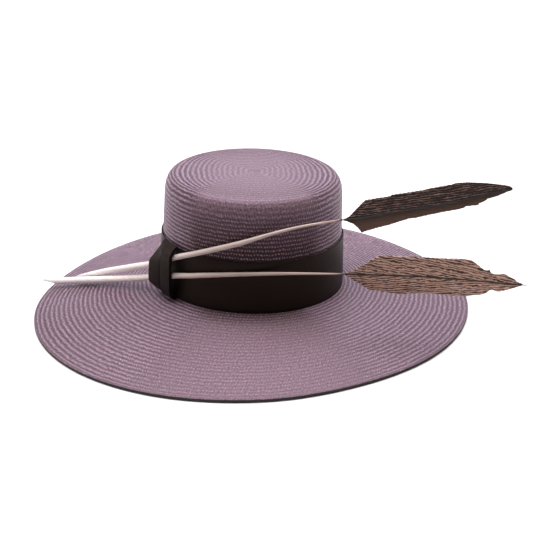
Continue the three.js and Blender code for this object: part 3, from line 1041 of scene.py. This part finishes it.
# Feathers: the rib's line (along, height), and the outline of the vane above and below the rib
# (along, distance from the rib), in the hat's own millimetres, with the steps where barbs part
print("feathers")
featherShape = {
    "columns": 420,
    "rows": 44,
    "wall": 0.0006,
    "curl": 0.0035,  # how far an edge curls back
    "curlReach": 0.024,  # at this distance from the rib
    "startY": -0.101,
    "endY": -0.115,
    "barbPitch": 0.0022,  # groups of barbs, coarser than single barbs so that they show
    "barbDepth": 0.00022,
    "barbAngle": math.radians(17),
    "barbFrom": 0.002,  # barbs reach their full depth this far from the rib
    "ragged": 0.035,  # how far their ends vary, as a share of the vane's width
    "raggedPitch": 1.7,
    # two waves that bend the barbs: (size, turns along the rib, turns across)
    "edgeWave": (0.35, 260, 3),
    "vaneWave": (0.3, 90, 500),
    "ribWidths": (2.0, 1.0),  # in millimetres
    "ribSides": 12,
    "ribSteps": 90,
}
featherLines = {
    "upperFeather": {
        "rib": (
            (98, 143), (104, 143.4), (119, 145.2), (146, 150.4), (183, 157), (212, 162.2),
            (230, 166.6), (246, 171), (258, 173.8), (272, 176.6),
        ),
        "above": (
            (98, 1), (99.1, 1), (104.1, 3.2), (111.1, 10.2), (118.8, 17.3), (121.3, 18.9),
            (132.6, 18.8), (147, 18.3), (148.9, 19.5), (165.1, 19.1), (182.5, 18.8), (185, 19.4),
            (201.1, 19.6), (212.3, 19.7), (214.1, 20.2), (227, 18.1), (244.2, 12.8), (264, 5.9),
            (268.9, 4), (272, 1.2),
        ),
        "below": (
            (98, 1), (99.1, 1), (102.2, 2.1), (108.5, 5.6), (113.6, 11.3), (117.4, 17.6),
            (118.7, 16.8), (132.6, 14.8), (145.2, 13.8), (165.2, 10.4), (170.2, 10.4),
            (172.7, 10.7), (187.7, 9.7), (202.6, 9.1), (222.5, 9.3), (225, 7.9), (237.8, 9.9),
            (238.6, 8.1), (244.1, 7.4), (246.5, 5.5), (256.9, 4.7), (266.6, 2), (272, 1.2),
        ),
        "bareTip": (),
    },
    "lowerFeather": {
        "rib": (
            (99, 81.2), (106, 81), (121, 80.3), (139, 79.6), (178, 77.8), (226, 74), (241, 72.2),
            (259, 70.2), (272, 68.8), (285, 67.6), (286.5, 67.4),
        ),
        "above": (
            (99, 1), (100.6, 1), (107, 4), (113.4, 7.6), (119.8, 11.2), (125, 15.3),
            (130.2, 18.6), (136.6, 21.3), (145.5, 21.8), (158.3, 21.2), (173.6, 21.7),
            (188.8, 21.8), (204.1, 22), (209.2, 21.9), (214.3, 22.6), (227, 22.6), (232.1, 22.4),
            (235.9, 20.7), (240.9, 16.8), (246, 13.2), (249.2, 12.8), (251.7, 14.1), (253, 10.9),
            (256.9, 9.3), (265.1, 10.8), (269, 10.3), (272.8, 8.2), (277.9, 6), (280.6, 3.4),
            (286.5, 1.2),
        ),
        "below": (
            (99, 1), (100.5, 1.8), (104.4, 3.9), (106.9, 6.7), (113.4, 10.1), (119.8, 15.1),
            (125, 18.7), (132.8, 19.7), (143.1, 21.2), (154.7, 22.5), (158.6, 23.6),
            (166.2, 21.7), (176.5, 20.9), (189.3, 19.9), (197, 20.3), (206, 20.4), (216.3, 21.1),
            (227.9, 20.8), (235.5, 18.3), (244.3, 16.4), (248.1, 14.4), (252.3, 9.7), (256.1, 9),
            (259.4, 10.6), (263.2, 10.2), (273.3, 6.4), (283.3, 1.9), (286.5, 0.6),
        ),
        "bareTip": ((291.0, -115.0, 67.0, 0.8),),  # past the vane
    },
}


# A vane cut from a grid: its columns follow the rib, and its rows fan out to both edges
def cutVane(name, lines, end):
    values = featherShape
    piece = layGrid(name, values["columns"], values["rows"])
    points = readPoints(piece.data)
    rib, above, below = (
        np.array(lines[key], dtype=float) / 1000 for key in ("rib", "above", "below")
    )
    start, stop = rib[0, 0], rib[-1, 0]
    along = start + (stop - start) * (points[:, 0] + 1) / 2
    side = points[:, 1]
    edge = np.where(side > 0, np.interp(along, *above.T), np.interp(along, *below.T))
    slant = values["barbAngle"]
    barb = (along - np.abs(side) * edge / math.tan(slant)) * math.sin(slant)
    phase = barb / values["barbPitch"]
    ends = np.abs(side) ** 8 * (phase * values["raggedPitch"] % 1.0)  # barb ends along the edge
    height = side * edge * (1 - values["ragged"] * ends)
    size, pitch, climb = values["edgeWave"]
    wobble = size * np.sin(along * pitch + climb * side)
    size, pitch, climb = values["vaneWave"]
    wobble = wobble + size * np.sin(along * pitch - height * climb)
    ripple = values["barbDepth"] * np.sin(2 * math.pi * (phase + wobble))
    ripple *= np.minimum(1, np.abs(height) / values["barbFrom"])
    share = (along - start) / (end - start)
    depth = values["startY"] + (values["endY"] - values["startY"]) * share
    depth = depth + values["curl"] * (height / values["curlReach"]) ** 2 + ripple
    placed = np.column_stack(
        (along + seat["middle"][0], depth + seat["middle"][1], np.interp(along, *rib.T) + height)
    )
    writePoints(piece.data, placed)
    loopVertex = np.empty(len(piece.data.loops), dtype=int)
    piece.data.loops.foreach_get("vertex_index", loopVertex)
    while piece.data.uv_layers:
        piece.data.uv_layers.remove(piece.data.uv_layers[0])
    barbs = piece.data.uv_layers.new(name="barbs")  # millimetres along the rib and away from it
    barbs.data.foreach_set("uv", np.column_stack((along, height))[loopVertex].ravel() * 1000)
    if sum(f.normal.y * f.area for f in piece.data.polygons) > 0:  # the face looks to the left side
        piece.data.flip_normals()
    return piece


def ribRoute(lines, end, widths):  # the rib as a route for a shaft, in the hat's own millimetres
    rows = []
    start = lines["rib"][0][0]
    for x, z in lines["rib"]:
        share = (x - start) / (end - start)
        y = featherShape["startY"] + (featherShape["endY"] - featherShape["startY"]) * share
        rows.append((x, y * 1000, z, widths[0] + (widths[1] - widths[0]) * share))
    return rows + list(lines["bareTip"])


def joinInto(piece, extra):
    bpy.ops.object.select_all(action="DESELECT")
    extra.select_set(True)
    piece.select_set(True)
    bpy.context.view_layer.objects.active = piece
    bpy.ops.object.join()


# Vane: barbs of keratin hooked together in a thin sheet, dull with a faint silk along the barbs.
# Wavy marks run nearly along the rib; the colours, the marks' pitch in millimetres and their
# slope differ between the two feathers
def vaneMaterial(name, pitch, slope, waviness):
    material, tree = newMaterial(name)
    uv = addNode(tree, "UVMap", {"uv_map": "barbs"})
    parts = addNode(tree, "SeparateXYZ", {0: uv})
    away = calculate(tree, "ABSOLUTE", parts.outputs["Y"])
    lean = calculate(tree, "MULTIPLY_ADD", parts.outputs["X"], slope, away)
    side = calculate(tree, "SIGN", parts.outputs["Y"])
    markSpace = addNode(tree, "CombineXYZ", {0: parts.outputs["X"], 1: lean, 2: side})
    markMap = addNode(tree, "Mapping", {0: markSpace, "Scale": (0.38, 1.0, 30.0)})
    waves = addNode(
        tree,
        "TexWave",
        {
            "bands_direction": "Y",
            0: markMap,
            "Scale": math.pi / (10 * pitch),
            "Distortion": waviness,
            "Detail": 2.0,
            "Detail Scale": 2.0,
            "Detail Roughness": 0.6,
        },
    )
    patchMap = addNode(tree, "Mapping", {0: markSpace, "Scale": (0.07, 0.35, 1.0)})
    patches = addNode(
        tree, "TexNoise", {0: patchMap, "Scale": 1.0, "Detail": 3.0, "Roughness": 0.65}
    )
    fineMap = addNode(tree, "Mapping", {0: markSpace, "Scale": (0.16, 2.6, 1.0)})
    fine = addNode(tree, "TexNoise", {0: fineMap, "Scale": 1.0, "Detail": 2.0})
    nodes = {"parts": parts, "away": away, "waves": waves, "patches": patches, "fine": fine}
    return material, tree, nodes


def finishVane(tree, colour, fine):
    fineTone = mapRange(tree, fine.outputs["Fac"], (0.3, 0.7), (0.75, 1.2))
    tone = addNode(tree, "HueSaturation", {"Color": colour, "Value": fineTone})
    bump = addNode(
        tree, "Bump", {"Strength": 0.5, "Distance": 0.0004, "Height": fine.outputs["Fac"]}
    )
    addSurface(
        tree,
        {
            "Roughness": 0.6,
            "Specular IOR Level": 0.3,
            "Sheen Weight": 0.1,
            "Sheen Roughness": 0.4,
            "Base Color": tone,
            "Normal": bump,
        },
    )


darkVane, tree, nodes = vaneMaterial("darkBarbs", 2.5, 0.05, 5.0)
lit = calculate(tree, "MULTIPLY", nodes["waves"].outputs["Fac"], nodes["patches"].outputs["Fac"])
flecks = mapRange(tree, lit, (0.32, 0.66))
flecked = mixColours(tree, flecks, "#261a18", "#a98678")
aboveRib = mapRange(tree, nodes["parts"].outputs["Y"], (-0.6, 0.2))
underFade = mapRange(tree, nodes["away"], (1.0, 9.0))
under = mixColours(tree, underFade, "#38271f", "#5c4435")
twoSides = mixColours(tree, aboveRib, under, flecked)
deepLine = mapRange(tree, nodes["away"], (0.4, 2.4))
notAbove = calculate(tree, "SUBTRACT", 1.0, aboveRib)
deep = calculate(tree, "MAXIMUM", deepLine, notAbove)
shaded = mixColours(tree, deep, "#15100f", twoSides)
finishVane(tree, shaded, nodes["fine"])

paleVane, tree, nodes = vaneMaterial("barredBarbs", 2.7, 0.14, 7.0)
patchTone = mapRange(tree, nodes["patches"].outputs["Fac"], (0.35, 0.65), (0.7, 1.0))
bars = mapRange(tree, nodes["waves"].outputs["Fac"], (0.38, 0.62), ease="SMOOTHSTEP")
marked = calculate(tree, "MULTIPLY", bars, patchTone)
barred = mixColours(tree, marked, "#c6a18f", "#2c1814")
ribLine = mapRange(tree, nodes["away"], (0.5, 1.3))
shaded = mixColours(tree, ribLine, "#3a2721", barred)
finishVane(tree, shaded, nodes["fine"])

# Rib: the thin end of the shaft, dark brown and smooth
ribKeratin, tree = newMaterial("darkKeratin")
where = addNode(tree, "TexCoord").outputs["Object"]
cloud = addNode(tree, "TexNoise", {0: where, "Scale": 60.0, "Detail": 2.0})
tint = mixColours(tree, cloud.outputs["Fac"], "#110c0a", "#211713")
addSurface(tree, {"Roughness": 0.45, "Base Color": tint})

for name, end, node, slot, barbs in (
    ("upperFeather", 0.272, "upper_feather", "dark_vane", darkVane),
    ("lowerFeather", 0.291, "lower_feather", "pale_vane", paleVane),
):
    piece = cutVane(name, featherLines[name], end)
    piece.data.materials.append(barbs)
    solid = piece.modifiers.new("Solidify", "SOLIDIFY")
    solid.thickness, solid.offset = featherShape["wall"], 0.0
    bpy.ops.object.modifier_apply(modifier=solid.name)
    route = ribRoute(featherLines[name], end * 1000, featherShape["ribWidths"])
    rib = pullShaft(name + "Rib", route, featherShape["ribSides"], featherShape["ribSteps"])
    rib.data.materials.append(ribKeratin)
    joinInto(piece, rib)
    piece.data.shade_smooth()
    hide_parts(node)
    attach(piece, "root")
    print(piece.name, len(piece.data.vertices), "points", len(piece.data.polygons), "faces")
